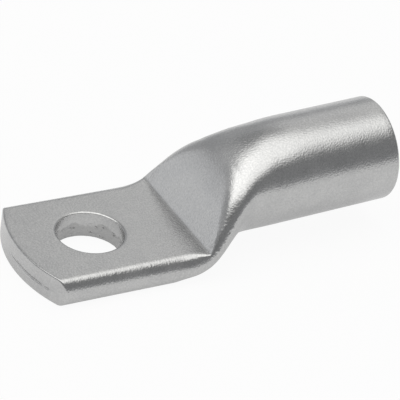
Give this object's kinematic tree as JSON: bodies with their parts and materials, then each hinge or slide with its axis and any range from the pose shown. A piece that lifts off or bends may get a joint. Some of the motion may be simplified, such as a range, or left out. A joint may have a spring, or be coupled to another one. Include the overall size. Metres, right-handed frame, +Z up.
{
  "type": "tubular crimp cable lug",
  "caption": "Round tube that crimps onto a stranded conductor, pressed flat at one end into a palm with a stud hole and a ramped neck between; tin-plated copper.",
  "frame": {"origin": "centre of the stud hole, in the plane of the palm's underside", "axes": "+X along the palm from the stud hole towards the barrel and its mouth, +Z up through the stud hole and out of the palm's top; the barrel's axis lies in the XZ plane and is tilted 2.8 degrees up from +X"},
  "size_m": [0.0617, 0.0228, 0.0189],
  "materials": {
    "tinned_copper": "satin tin plate with a fine frosted grain"
  },
  "bodies": {
    "root": {"cable_lug": "tinned_copper"}
  },
  "joints": []
}
